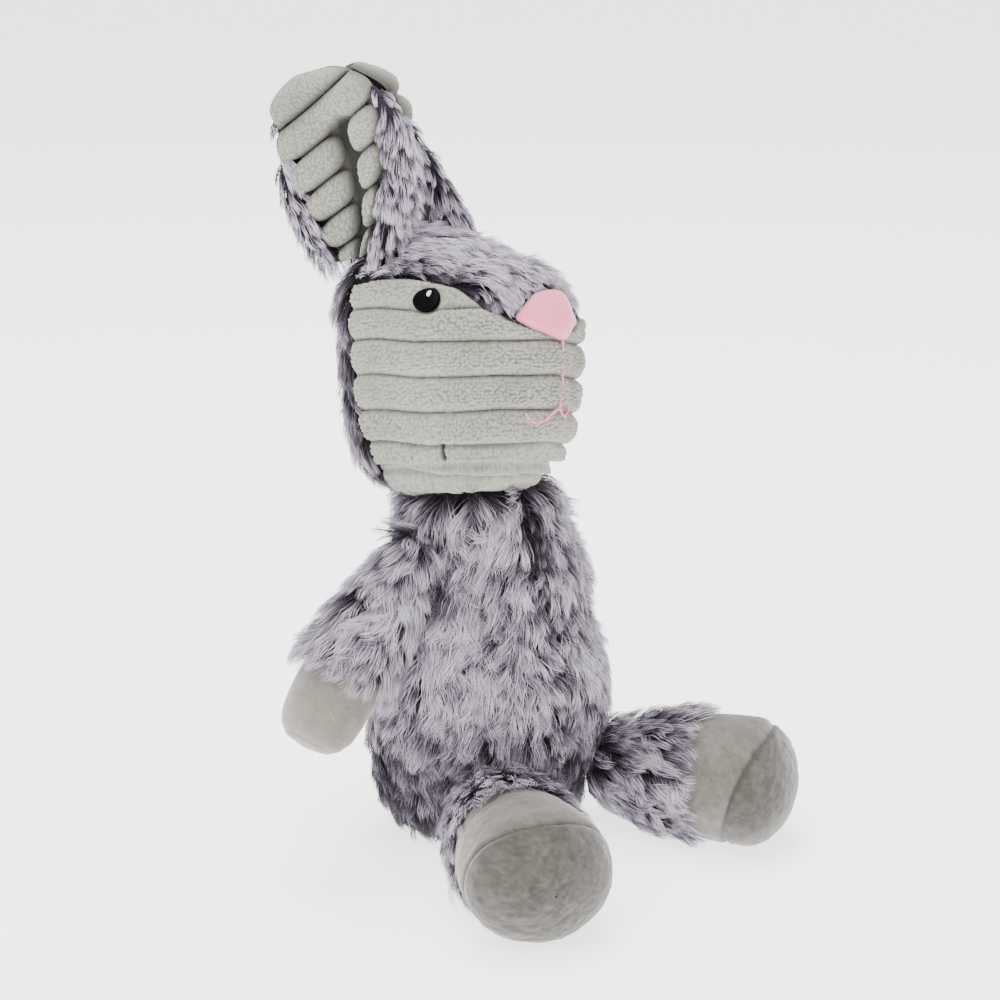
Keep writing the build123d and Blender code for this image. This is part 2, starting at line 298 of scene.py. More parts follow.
# The last colour given to the terry, foot velour and nose satin is painted shade for grooves, creases, folds
# and the sole; on both velours it also colours the nap's darker mottling, and on the paw velour only that.
TERRY = cloth_material("ribbed_terry", srgb(150, 149, 138), srgb(184, 183, 172), 40, 1500, 0.35, 0.0004,
                       sheen=0.3, painted_shade_and_nap_colour=srgb(56, 55, 49))
FOOT_VELOUR = cloth_material("foot_velour", srgb(98, 92, 85), srgb(130, 124, 116), 95, 1900, 0.35, 0.0003,
                             sheen=0.55, painted_shade_and_nap_colour=srgb(66, 62, 57))
PAW_VELOUR = cloth_material("paw_velour", srgb(118, 111, 102), srgb(150, 144, 135), 110, 1900, 0.35, 0.0003,
                            sheen=0.55, painted_shade_and_nap_colour=srgb(88, 83, 76))
SATIN = cloth_material("nose_satin", srgb(250, 128, 152), srgb(255, 156, 178), 120, 2600, 0.25, 0.0002,
                       rough=0.55, sheen=0.4, painted_shade_and_nap_colour=srgb(205, 120, 142))
PINK = cloth_material("pink_thread", srgb(228, 120, 150), srgb(250, 160, 184), 200, 3000, 0.3, 0.0002,
                      rough=0.5, sheen=0.2)
BLACK = cloth_material("black_thread", srgb(3, 3, 4), srgb(10, 10, 12), 200, 3000, 0.3, 0.0002,
                       rough=0.5, sheen=0.0)
BLACK.node_tree.nodes["Principled BSDF"].inputs["Specular IOR Level"].default_value = 0.03
WHITE = cloth_material("white_thread", srgb(225, 225, 225), srgb(250, 250, 250), 200, 3000, 0.3, 0.0002,
                       rough=0.4, sheen=0.1)
FIBRE = cloth_material("fibre_stuffing", srgb(226, 224, 218), srgb(246, 245, 241), 80, 700, 0.8, 0.001)


# ---------------------------------------------------------------- fur
STATIONS = np.array([0.0, 0.34, 0.7, 1.0])
TAPER = np.array([1.0, 0.95, 0.7, 0.0])
CORNERS = 7
FLOOR_GAP = 0.1


def scatter(points, normals, spacing, keep=None):
    """Places of locks spread evenly over a grid of points, with their normals."""
    a, b, c, d = points[:-1, :-1], points[:-1, 1:], points[1:, 1:], points[1:, :-1]
    area = 0.5 * np.linalg.norm(np.cross(c - a, d - b), axis=-1)
    total = np.cumsum(area.ravel())
    count = int(total[-1] / spacing ** 2)
    cell = np.searchsorted(total, (np.arange(count) + rng.random(count)) / count * total[-1])
    row, col = np.divmod(np.minimum(cell, area.size - 1), area.shape[1])
    u, v = rng.random((count, 1)), rng.random((count, 1))
    found = []
    for field in (points, normals):
        top = field[row, col] * (1 - u) + field[row, col + 1] * u
        low = field[row + 1, col] * (1 - u) + field[row + 1, col + 1] * u
        found.append(top * (1 - v) + low * v)
    place, normal = found[0], unit(found[1])
    if keep is not None:
        kept = keep(place)
        place, normal = place[kept], normal[kept]
    return place, normal


def coat(name, place, normal, flow, length, lift, tone, body, per=16, spread=1.5, width=0.24,
         clump=0.72, curl=0.8, droop=1.0, wander=0.3):
    """Fur as tapering strands gathered into locks. flow, length, lift and tone are given for each lock."""
    n = len(place)
    flow = unit(flow - normal * dot(flow, normal))
    side = np.cross(normal, flow)
    sway = wander * (lumps(place, 9, 3) + 0.8 * lumps(place, 3.5, 4) + 0.5 * rng.standard_normal(n))
    flow = unit(flow + side * sway[:, None])
    side = np.cross(normal, flow)
    own = np.repeat(np.arange(n), per)
    m = len(own)
    nor, way, off = normal[own], flow[own], side[own]
    r, a = spread * np.sqrt(rng.random((m, 1))), 2 * np.pi * rng.random((m, 1))
    root = place[own] + way * r * np.cos(a) + off * r * np.sin(a)
    long = length[own, None] * (0.72 + 0.4 * rng.random((m, 1)))
    high = lift[own, None] * (0.6 + 0.7 * rng.random((m, 1)))
    turn = 0.3 * rng.standard_normal((m, 1))
    lean = unit(way + off * turn)
    bend = curl * rng.standard_normal((m, 1))
    wave = 6.3 * rng.random((m, 1))
    lead_high, lead_long = lift[own, None], length[own, None]
    lead_bend = (curl * 1.6 * rng.standard_normal(n))[own, None]
    rows = []
    for t in STATIONS:
        up = 1 - (1 - t) ** 2
        mine = root + nor * (high * up - droop * t * t) + lean * long * t
        mine = mine + off * bend * np.sin(wave + 4 * t) * t
        lead = place[own] + nor * (lead_high * up - droop * t * t) + way * lead_long * t
        lead = lead + off * lead_bend * t * t
        w = clump * t ** 0.8
        rows.append(mine * (1 - w) + lead * w)
    line = np.stack(rows, 1)
    along = unit(np.gradient(line, axis=1))
    wide = unit(np.cross(along, nor[:, None, :]))
    roll = (rng.random((m, 1, 1)) - 0.5) * 2.0
    wide = unit(wide * np.cos(roll) + np.cross(along, wide) * np.sin(roll))
    half = 0.5 * width * (0.75 + 0.5 * rng.random((m, 1, 1))) * TAPER[None, :, None]
    left, right = line - wide * half, line + wide * half
    points = np.empty((m, CORNERS, 3))
    points[:, 0:6:2] = left[:, :3]
    points[:, 1:6:2] = right[:, :3]
    points[:, 6] = line[:, 3]
    points[..., 2] = np.maximum(points[..., 2], FLOOR_GAP)
    shade = np.clip(tone[own] + 0.10 * rng.standard_normal(m), 0.01, 0.985)
    uv = np.empty((m, CORNERS, 2))
    for k, t in enumerate((0, 0, STATIONS[1], STATIONS[1], STATIONS[2], STATIONS[2], 1.0)):
        uv[:, k, 0] = shade + (0.004 if k % 2 else 0.0)
        uv[:, k, 1] = 0.02 + 0.95 * t
    start = (np.arange(m) * CORNERS)[:, None]
    quads = np.concatenate([start + [0, 1, 3, 2], start + [2, 3, 5, 4]])
    tips = start + [4, 5, 6]
    return mesh_of(name, points.reshape(-1, 3), [quads, tips], body, FROSTED, None, uv.reshape(-1, 2))


# ---------------------------------------------------------------- torso
TORSO = np.array([
    (0, 0, 22, 20), (8, 0, 31, 28), (30, -2, 38.5, 35), (56, -2, 37.5, 34), (84, 0, 29.5, 28),
    (98, 1, 26.5, 25), (105, 1, 24.5, 23), (113, 1, 22.5, 21), (118, 1, 20.5, 19),
], float)
TORSO_FOOT, TORSO_TOP = 5, 116
SKIN = 3.0
SEAM_Y = 4


def torso_at(z, angle, inset):
    """Points of the torso's pear shape at a height and an angle, drawn in by inset."""
    cy, rx, ry = [smooth_line(z, TORSO[:, 0], TORSO[:, k]) for k in (1, 2, 3)]
    flat = inset * np.clip(1 - z / 10, 0, 1)
    x = (rx - inset) * np.cos(angle)
    y = cy + (ry - inset) * np.sin(angle)
    return np.stack([x, y, np.broadcast_to(z + flat, x.shape)], -1)


def side_angle(z):
    """How far past level the side seam lies, as an angle."""
    cy, ry = [smooth_line(z, TORSO[:, 0], TORSO[:, k]) for k in (1, 3)]
    return np.arcsin(np.clip((SEAM_Y - cy) / ry, -0.6, 0.6))


def torso_grid(start, stop, rows, cols, inset):
    """A panel of the torso, pinched in along its side seams."""
    z = np.linspace(TORSO_FOOT, TORSO_TOP, rows)[:, None]
    t = np.linspace(0, 1, cols)[None, :]
    angle = start(z) * (1 - t) + stop(z) * t
    z = np.broadcast_to(z, angle.shape)
    pinch = np.exp(-((t * (1 - t)) / 0.012) ** 2) * 1.8
    p = torso_at(z, angle, inset + pinch)
    return p + unit(p - [0, 0, 55]) * lumps(p, 16, 5)[..., None] * 0.9


# the angles at which each panel starts and stops, by height
torso_panels = {
    "torso_front_right": (lambda z: np.pi - side_angle(z), lambda z: np.pi * 1.5 + 0 * z),
    "torso_front_left": (lambda z: np.pi * 1.5 + 0 * z, lambda z: 2 * np.pi + side_angle(z)),
    "torso_back": (lambda z: side_angle(z), lambda z: np.pi - side_angle(z)),
}
ARM_ROOT = {"right": np.array([-27.0, 3, 97]), "left": np.array([27.0, 4, 97])}
ARM_WAY = {"right": unit(np.array([-0.629, 0.04, -0.777])), "left": unit(np.array([0.52, 0.38, -0.765]))}
HIP = {"right": np.array([-24.5, -25, 20.5]), "left": np.array([24.5, -25, 20.5])}
LEG_WAY = {side: np.array([s * np.sin(np.radians(27)), -np.cos(np.radians(27)), 0]) for side, s in
           (("right", -1), ("left", 1))}


def apart_from(p, root, way):
    """Distance of points from a limb's axis."""
    t = np.clip((p - root) @ way, 0, 60)
    return np.linalg.norm(p - root - t[:, None] * way, axis=-1)


def clear_of_limbs(p):
    """Where the torso isn't covered by a limb's root."""
    free = np.ones(len(p), bool)
    for side in ("right", "left"):
        free &= apart_from(p, ARM_ROOT[side], ARM_WAY[side]) > 4
        free &= apart_from(p, HIP[side], LEG_WAY[side]) > 9
    return free


for name, (start, stop) in torso_panels.items():
    skin = torso_grid(start, stop, 60, 56, SKIN)
    middle = skin.mean(axis=1, keepdims=True) * [0, 0, 1]
    piece = cloth(name + "_cloth", skin, middle, None, BACKING, hem=1.5)
    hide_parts(name)
    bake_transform(piece)
    place, normal = scatter(skin, grid_normals(skin, middle), 2.5, clear_of_limbs)
    # low marks the lower torso, whose fur is shorter and flatter and, in its tone, darker as painted shade
    # between the legs and away from the top light
    low = step(60, 20, place[:, 2])
    ruff = step(99, 112, place[:, 2])
    by_arm = [apart_from(place, ARM_ROOT[side], ARM_WAY[side]) for side in ARM_ROOT]
    # painted shade on the torso's fur beside the arms, where the arms shadow it
    painted_shade_by_arm = step(20, 12, np.minimum(*by_arm))
    seam = np.exp(-(place[:, 0] / 3.0) ** 2) * (place[:, 1] < 0)
    bank = np.exp(-((place[:, 1] - SEAM_Y) / 3.0) ** 2)
    flow = np.stack([place[:, 0] * 0.006 + np.sign(place[:, 0]) * seam * 0.5, 0 * low, 0.6 * ruff - 1], -1)
    length = 11.5 - 2 * low - 3.5 * seam + rng.normal(0, 1.5, len(place))
    lift = 5.6 - 1.4 * low - 2.2 * np.maximum(seam, bank) + 2.5 * ruff + rng.normal(0, 0.6, len(place))
    tone = 0.55 + 0.28 * lumps(place, 8, 21) + 0.3 * lumps(place, 2.8, 22)
    tone = tone - 0.55 * low - 0.45 * seam - 0.15 * bank - 0.4 * painted_shade_by_arm
    fur = coat(name + "_fur", place, normal, flow, length, lift, tone, None, per=20, droop=1.5,
               clump=0.62, curl=1.4, wander=0.7)
    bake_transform(fur)

# the seat: a flat oval of the same fur, its pile pressed flat
rows = np.linspace(0.02, 1, 24)[:, None]
angle = np.linspace(0, 2 * np.pi, 96, endpoint=False)[None, :]
reach = np.minimum(rows * 1.35, 1)
rise = np.clip(rows * 1.35 - 1, 0, 1) / 0.35
rx = 19 * reach + rise * 7.2
ry = 17 * reach + rise * 6.6
seat = np.stack([rx * np.cos(angle), ry * np.sin(angle), 2.2 + 0 * angle + 3.2 * rise ** 1.6], -1)
seat_up = np.array([0, 0, 40.0])
piece = cloth("torso_seat_cloth", seat, seat_up, "torso", BACKING, closed=True, hem=1.0)
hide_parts("torso_seat")
wrapped = wrap(seat)
place, normal = scatter(wrapped, grid_normals(wrapped, seat_up), 2.7)
n = len(place)
flow = np.stack([place[:, 0] * 0.01, np.ones(n), np.zeros(n)], -1)
fur = coat("torso_seat_fur", place, normal, flow, np.full(n, 8.0), np.full(n, 1.7),
           0.4 + 0.15 * lumps(place, 7, 23), "torso", per=12, droop=0.0)


# ---------------------------------------------------------------- head
HEAD_AT = np.array([-5.0, 3, 155])
CORE, ROUND, TALL = (11.0, 11.5), 22.0, 18.0


def turned(axis, degrees):
    c, s = np.cos(np.radians(degrees)), np.sin(np.radians(degrees))
    i, j = {"x": (1, 2), "y": (2, 0), "z": (0, 1)}[axis]
    m = np.eye(3)
    m[i, i], m[i, j], m[j, i], m[j, j] = c, -s, s, c
    return m


HEAD_TURN = turned("y", 10) @ turned("x", -12) @ turned("z", 6)


def to_world(p):
    return p @ HEAD_TURN.T + HEAD_AT


def to_head(p):
    return (p - HEAD_AT) @ HEAD_TURN


def way_round(s, a, b):
    """The core point and the outward way at a distance s round a rounded rectangle, from its front middle."""
    arc = np.pi * ROUND / 2
    runs = np.cumsum([0, a, arc, 2 * b, arc, 2 * a, arc, 2 * b, arc, a])
    turn = np.interp(s, runs, np.radians([-90, -90, 0, 0, 90, 90, 180, 180, 270, 270]))
    x = np.interp(s, runs, [0, a, a, a, a, -a, -a, -a, -a, 0])
    y = np.interp(s, runs, [-b, -b, -b, b, b, b, b, -b, -b, -b])
    return x, y, np.cos(turn), np.sin(turn)


ROUND_IT = 2 * np.pi * ROUND + 4 * sum(CORE)
FLAT = 12
DOWN = np.cumsum([0, FLAT, np.pi * ROUND / 2, 2 * TALL, np.pi * ROUND / 2, FLAT])


def soften(p):
    """The block's crown rounded over, its chin drawn in and its muzzle brought forward."""
    x, y, z = p[..., 0], p[..., 1], p[..., 2]
    z = z - (10 + 7 * step(2, -24, y)) * (x / 33) ** 2 * np.clip(z / 40, 0, 1) ** 1.2
    taper = 1 - 0.09 * step(5, -36, z)
    x, y = x * taper, y * taper
    muzzle = 5.5 * np.exp(-(x / 9) ** 2) * step(30, 18, z) * step(-36, -26, z)
    return np.stack([x, y + (2.0 - muzzle) * step(-14, -28, y), z], -1)


def head_at(s, v, inset):
    """Head-frame points: s round the head from its front, v down it from the crown, both in mm."""
    x, y, mx, my = way_round(np.mod(s, ROUND_IT), *CORE)
    k = np.interp(v, DOWN, [0.02, 1, 1, 1, 1, 0.02])
    phi = np.interp(v, DOWN, np.radians([90, 90, 0, 0, -90, -90]))
    brow = np.interp(k * y, [-11.5, -4, 4, 11.5], [8.5, 13.5, 17, 18])
    share = np.interp(v, DOWN[2:4], [0, 1])
    r = ROUND - inset
    p = [k * x + r * np.cos(phi) * mx, k * y + r * np.cos(phi) * my,
         brow * (1 - share) - TALL * share + r * np.sin(phi) + 0 * x]
    return soften(np.stack(p, -1))


def down_to(s, z):
    """How far down the head each height z lies, for each place s round it."""
    v = np.linspace(0, DOWN[-1], 500)
    s, z = np.broadcast_arrays(np.atleast_1d(np.squeeze(s)), np.squeeze(z))
    high = head_at(s[:, None], v[None, :] + 0 * s[:, None], 0)[..., 2]
    return np.array([np.interp(-z[i], -high[i] + v * 1e-6, v) for i in range(len(s))])[None, :]


GROOVES = np.array([24.5, 12.6, 3.0, -7.6, -18.0, -28.0, -37.2, -47])


def rib(z):
    """Height of the terry's rolls, from 0 in a groove to 1 on a roll."""
    k = np.interp(-z, -GROOVES, np.arange(len(GROOVES)))
    x = np.abs(2 * (k - np.floor(k)) - 1)
    return np.clip(1 - x ** 2.6, 0, 1) ** 0.55


def round_from_front(s):
    """Distance round the head from its front middle, the same on both sides."""
    s = np.mod(s, ROUND_IT)
    return np.minimum(s, ROUND_IT - s)


def border_height(s):
    """Where the face's terry ends against the crown's fur."""
    return smooth_line(round_from_front(s), [0, 14, 24.8, 32, 44, 56, 80],
                       [8.8, 9.3, 14.1, 18.4, 21.6, 24, 23.4])


def bow(s, z):
    """The rolls rise a little towards the back of the head, and wander."""
    place = np.stack([s + 0 * z, z + 0 * s, 5 + 0 * z + 0 * s], -1)
    return 2.1 * step(46, 68, round_from_front(s)) + 0.5 * lumps(place, 17, 8)


BACK_Y = 19.0
CHIN_SEAM = -34.0
EYE = (-11.6, 15.4)
s_side = CORE[0] + np.pi * ROUND / 2 + CORE[1] + BACK_Y + 0.6


def terry_relief(p, s, edge):
    """How far the terry stands out at head-frame points, and its painted shade between the rolls and loops.
    """
    roll = rib(p[..., 2] - bow(s, p[..., 2]))
    loops = nubs(s, p[..., 2] * 1.1 + 0.6 * roll, 1.15, 7)
    fluff = lumps(np.stack([s + 0 * p[..., 2], p[..., 2], 0 * p[..., 2]], -1), 2.4, 9)
    sewn = step(0, 3.5, edge)
    spot = np.abs(p[..., 0]) > 25
    eye = np.exp(-(((p[..., 1] - EYE[0]) / 5.4) ** 2 + ((p[..., 2] - EYE[1]) / 5.0) ** 2) ** 2) * spot
    nose = np.exp(-((p[..., 0] / 11) ** 2 + ((p[..., 2] - 11) / 7.5) ** 2) ** 2) * (p[..., 1] < 0)
    press = 1 - np.clip(eye + nose, 0, 1)
    pile = (1.15 * loops + 0.4 * fluff) * (0.12 + 0.88 * roll)
    out = -2.0 + (2.8 * roll + pile) * sewn * press + 0.5 * (1 - press)
    # painted shade: darker in the grooves between the rolls and between the loops
    painted_shade_and_nap = np.clip(1 - roll * 1.5, 0, 1) * 0.6 + 0.5 * (1 - loops) ** 1.5 * (0.25 + 0.75 * roll)
    return out, np.clip(painted_shade_and_nap, 0, 1)


s = np.linspace(-s_side, s_side, 470)[None, :]
t = np.linspace(0, 1, 205)[:, None]
top = down_to(s, border_height(s))
low = down_to(s, CHIN_SEAM)
v = top + (low - top) * t
p = head_at(s + 0 * t, v, 0)
n = unit(grid_normals(p, np.zeros(3)))
edge = np.minimum(np.minimum(t * (low - top), (1 - t) * (low - top)), (s_side - np.abs(s)) + 0 * t)
out, painted_shade_and_nap = terry_relief(p, s + 0 * t, edge)
dart = np.exp(-((s + 42) / 0.9) ** 2) * step(-26, -29, p[..., 2])
out = out - 1.0 * dart + 0.6 * lumps(p, 14, 31)
face = to_world(p + n * out[..., None])
# painted shade in the dart's groove as well as between the rolls
piece = cloth("face_panel_terry", face, HEAD_AT, "head", TERRY, hem=2.0, painted_shade_and_nap=np.clip(painted_shade_and_nap + dart, 0, 1),
              outward=n @ HEAD_TURN.T)
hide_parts("face_panel")

# the chin's terry, from the lower seam in under the head
s = np.linspace(0, ROUND_IT, 420, endpoint=False)[None, :]
t = np.linspace(0, 1, 70)[:, None]
low = down_to(s, CHIN_SEAM)
v = low + (DOWN[-1] - low) * t
p = head_at(s + 0 * t, v, 0)
n = unit(grid_normals(p, np.zeros(3), True))
out, painted_shade_and_nap = terry_relief(p, s + 0 * t, (v - low) + 0 * s)
chin = to_world(p + n * out[..., None])
piece = cloth("chin_panel_terry", chin, HEAD_AT, "head", TERRY, closed=True, hem=1.5, painted_shade_and_nap=painted_shade_and_nap,
              outward=n @ HEAD_TURN.T)
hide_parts("chin_panel")

# the crown's fur, from the middle of the crown out to the terry and down to the nose
s = np.linspace(0, ROUND_IT, 240, endpoint=False)[None, :]
rim = down_to(s, border_height(s)) + 0.3
fine = np.linspace(0, 60, 600)[:, None]
sample = head_at(s + 0 * fine, fine + 0 * s, SKIN)
over = sample[..., 1] > BACK_Y + 0.3
first = np.where(over.any(0), fine[:, 0][over.argmax(0)], 99)
rim = np.minimum(rim, first[None, :])
t = np.linspace(0.0, 1, 60)[:, None]
p = head_at(s + 0 * t, rim * t, SKIN)
n = grid_normals(p, np.zeros(3), True)
p = p + n * lumps(p, 13, 33)[..., None] * 0.4
crown = to_world(p)
piece = cloth("crown_panel_cloth", crown, HEAD_AT, "head", BACKING, closed=True, hem=1.5,
              outward=n @ HEAD_TURN.T)
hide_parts("crown_panel")
place, normal = scatter(wrap(crown), wrap(n) @ HEAD_TURN.T, 2.3)
local = to_head(place)
turn = np.arctan2(local[:, 0], -local[:, 1])
ahead = np.interp(np.abs(turn), np.radians([0, 25, 45, 60, 90, 120, 180]), [0, 14.2, 28, 38, 57, 76, 114])
terry_edge = local[:, 2] - border_height(ahead)
near = np.exp(-(np.clip(terry_edge, 0, 30) / 3.4) ** 2) * (local[:, 1] < 12)
over_brow = step(-10, -30, local[:, 1])
flow = np.stack([-0.25 * np.sign(local[:, 0]) * near, -np.ones(len(local)), -0.2 - 0.9 * over_brow], -1)
flow = flow @ HEAD_TURN.T
length = 10.5 - 4 * near + rng.normal(0, 1.2, len(place))
to_nose = np.hypot(ahead / 14.6, (local[:, 2] - 10.5) / 7.9) - 1 + 9 * (local[:, 1] > -10)
length = np.minimum(length, 3.5 + 11 * np.clip(to_nose, 0, 9))
lift = 5.0 - 1.6 * near + rng.normal(0, 0.6, len(place))
tone = 0.84 - 0.6 * near + 0.1 * lumps(place, 7, 41) - 0.25 * step(-16, -32, local[:, 1])
tone = tone + 0.12 * lumps(place, 2.8, 42)
fur = coat("crown_panel_fur", place, normal, flow, length, lift, tone, "head", per=21, droop=2.0,
           curl=0.8, wander=0.28)

# the back of the head
back_core, back_tall = (11.0, 18.0), 11.5
s = np.linspace(0, 2 * np.pi * ROUND + 4 * sum(back_core), 220, endpoint=False)[None, :]
t = np.linspace(0, 1, 50)[:, None]
x, y, mx, my = way_round(s, *back_core)
v = (FLAT + np.pi * ROUND / 2 * 0.75) * t
k = np.interp(v, [0, FLAT], [0.02, 1])
phi = np.interp(v, [FLAT, FLAT + np.pi * ROUND / 2], np.radians([90, 0]))
r = ROUND - SKIN
out = k[..., None] * np.stack([x, 0 * x, y], -1)
out = out + (r * np.cos(phi))[..., None] * np.stack([mx, 0 * mx, my], -1)
p = soften(out + np.stack([0 * x + 0 * t, back_tall + r * np.sin(phi) + 0 * x, 0 * x + 0 * t], -1))
n = grid_normals(p, np.zeros(3), True)
p = p + n * lumps(p, 13, 34)[..., None] * 0.7
back = to_world(p)
piece = cloth("head_back_panel_cloth", back, HEAD_AT, "head", BACKING, closed=True, hem=1.5,
              outward=n @ HEAD_TURN.T)
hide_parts("head_back_panel")
place, normal = scatter(wrap(back), wrap(n) @ HEAD_TURN.T, 2.4)
local = to_head(place)
rim = np.exp(-((local[:, 1] - BACK_Y) / 3.5) ** 2)
flow = np.stack([local[:, 0] * 0.004, 0.15 + 0 * rim, -np.ones(len(rim))], -1) @ HEAD_TURN.T
length = 12 - 2 * rim + rng.normal(0, 1, len(place))
lift = 5.2 - 1.0 * rim + rng.normal(0, 0.5, len(place))
tone = 0.5 - 0.25 * rim + 0.24 * lumps(place, 7, 43) + 0.18 * lumps(place, 3, 44)
fur = coat("head_back_panel_fur", place, normal, flow, length, lift, tone, "head", per=19, droop=2.0,
           curl=1.2, wander=0.5)


# ---------------------------------------------------------------- nose, mouth and eyes
REACH, PER_MM = 75, 2
COLS, ROWS = 2 * REACH * PER_MM + 1, 221
front_s = np.linspace(-REACH, REACH, COLS)
front_v = np.linspace(8, 96, ROWS)
front_grid = head_at(front_s[None, :] + 0 * front_v[:, None], front_v[:, None] + 0 * front_s[None, :], 0)
front_out = grid_normals(front_grid, np.zeros(3))


def on_head(s, z, out):
    """Head-frame points at a place round the head and a height, standing out from it."""
    shape = s.shape
    i = np.clip((s.ravel() + REACH) * PER_MM, 0, COLS - 1.001)
    k, f = i.astype(int), (i % 1)[:, None]
    high = front_grid[:, k, 2].T * (1 - f) + front_grid[:, k + 1, 2].T * f
    j = np.array([np.interp(-q, -row, np.arange(len(row))) for q, row in zip(z.ravel(), high)])
    m, g = np.clip(j, 0, ROWS - 1.001).astype(int), (j % 1)[:, None]
    found = []
    for field in (front_grid, front_out):
        upper = field[m, k] * (1 - f) + field[m, k + 1] * f
        lower = field[m + 1, k] * (1 - f) + field[m + 1, k + 1] * f
        found.append(upper * (1 - g) + lower * g)
    return (found[0] + unit(found[1]) * np.broadcast_to(out, shape).ravel()[:, None]).reshape(shape + (3,))


def closed_curve(points, count):
    """A smooth closed line through points."""
    pts = np.asarray(points, float)
    k = len(pts)
    t = np.arange(count) / count * k
    i, f = np.floor(t).astype(int), (t % 1)[:, None]
    a, b, c, d = pts[(i - 1) % k], pts[i % k], pts[(i + 1) % k], pts[(i + 2) % k]
    bend = (2 * a - 5 * b + 4 * c - d) * f ** 2 + (3 * b - a - 3 * c + d) * f ** 3
    return 0.5 * (2 * b + (c - a) * f + bend)


outline = closed_curve([(-14.6, 9.4), (-10.9, 13.3), (-5.8, 17.1), (0, 17.9), (5.8, 17.1), (10.9, 13.3),
                        (14.6, 9.4), (11.3, 7.2), (6.3, 5.2), (0, 3.0), (-6.3, 5.2), (-11.3, 7.2)], 180)
t = np.linspace(0.0, 1, 40)[:, None, None]
flat = np.array([0, 10.5]) + (outline[None] - [0, 10.5]) * t
puff = 0.7 + 1.9 * np.sqrt(np.clip(1 - t[..., 0] ** 3.2, 0, 1)) + 0 * flat[..., 0]
puff = puff + 0.05 * np.sin(flat[..., 0] * 9) * (t[..., 0] < 0.94)
nose = to_world(on_head(flat[..., 0], flat[..., 1], puff))
# painted shade along the nose's rim, where its padding curves down into the face
piece = cloth("nose_satin", nose, HEAD_AT, "head", SATIN, closed=True, hem=1.6,
              painted_shade_and_nap=step(0.9, 1.0, t[..., 0]) + 0 * flat[..., 0])
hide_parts("nose")


def thread(name, lines, radius, stitch, place, material, body):
    """A line of stitches: a plied thread that dips into the cloth between them."""
    points, faces, start = [], [], 0
    for line in lines:
        line = np.asarray(line, float)
        run = np.concatenate([[0], np.cumsum(np.linalg.norm(np.diff(line, axis=0), axis=1))])
        s = np.linspace(0, run[-1], int(run[-1] / 0.18) + 2)
        flat = np.stack([smooth_line(s, run, line[:, k]) for k in (0, 1)], -1)
        dip = np.abs(np.sin(np.pi * s / stitch)) ** 0.5
        path = place(flat[:, 0], flat[:, 1], 0.15 + 0.65 * dip)
        along = unit(np.gradient(path, axis=0))
        out = unit(place(flat[:, 0], flat[:, 1], 1 + 0 * s) - place(flat[:, 0], flat[:, 1], 0 * s))
        across = unit(np.cross(along, out))
        out = np.cross(across, along)
        a = np.linspace(0, 2 * np.pi, 12, endpoint=False)[None, :]
        r = radius * (0.7 + 0.3 * dip[:, None]) * (1 + 0.13 * np.cos(2 * a + 3.2 * s[:, None]))
        ring = path[:, None] + across[:, None] * (r * np.cos(a))[..., None]
        ring = ring + out[:, None] * (r * np.sin(a))[..., None]
        faces.append(grid_faces(len(s), 12, True) + start)
        points.append(ring.reshape(-1, 3))
        start += ring.shape[0] * 12
    return mesh_of(name, np.concatenate(points), [np.concatenate(faces)], body, material)


def mouth_place(s, z, out):
    return to_world(on_head(s, z, 0.55 + 0.6 * out))


mouth = [
    [(0.5, 4.2), (0.6, 0), (0.9, -6), (0.9, -12), (0.3, -17.2)],
    [(-11, -18.8), (-9.6, -20.5), (-7.2, -21.4), (-4.4, -20.6), (-2.2, -18.6), (0.3, -17.2)],
    [(0.3, -17.2), (1.8, -18.7), (4.2, -19.4), (6.8, -18.8), (9, -17)],
]
piece = thread("mouth_stitch_thread", mouth, 0.45, 2.4, mouth_place, PINK, "head")
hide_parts("mouth_stitch")

for side, sign in (("right", -1), ("left", 1)):
    for part, centre, size, low_out, high, material in (
        ("eye", (45.8, EYE[1]), (4.7, 3.75), -0.2, 1.25, BLACK),
        ("eye_shine", (45.4, EYE[1] + 1.3), (0.9, 0.95), 0.75, 0.7, WHITE),
    ):
        t = np.linspace(0.0, 1, 34)[:, None]
        a = np.linspace(0, 2 * np.pi, 120, endpoint=False)[None, :]
        z = centre[1] + size[1] * t * np.sin(a)
        y = centre[0] + size[0] * t * np.cos(a) + 0.27 * (z - EYE[1])
        satin = 0.07 * np.abs(np.sin(6.0 * (y + 0.25 * z)))
        dome = low_out + high * np.clip(1 - t ** 4, 0, 1) ** 0.5 + satin * (t < 0.97)
        eye = to_world(on_head(sign * y, z, dome))
        piece = cloth(f"{part}_{side}_thread", eye, HEAD_AT, "head", material, closed=True, hem=0.6)
        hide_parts(f"{part}_{side}")

# ---------------------------------------------------------------- ears
EARS = {
    "right": ((-23.1, 21.5, 31.7), (-31, 37, 87), (-0.85, -0.5, 0)),
    "left": ((19.6, 22.8, 35.9), (1, 49, 88), (0.85, -0.5, 0)),
}
SPINE, LIP, EAR_ROUND = 14.0, 3.5, 17


def ear_half(share):
    """Half width of the ear's lining at a share of its height."""
    body = smooth_line(share, [0, 0.11, 0.25, 0.46, 0.64, 0.82], [3.3, 7, 10.2, 14, 15.4, 15.2])
    tip = 15.2 * np.sqrt(np.clip(1 - ((share - 0.82) / 0.18) ** 2, 0, 1))
    return np.where(share > 0.82, tip, body)


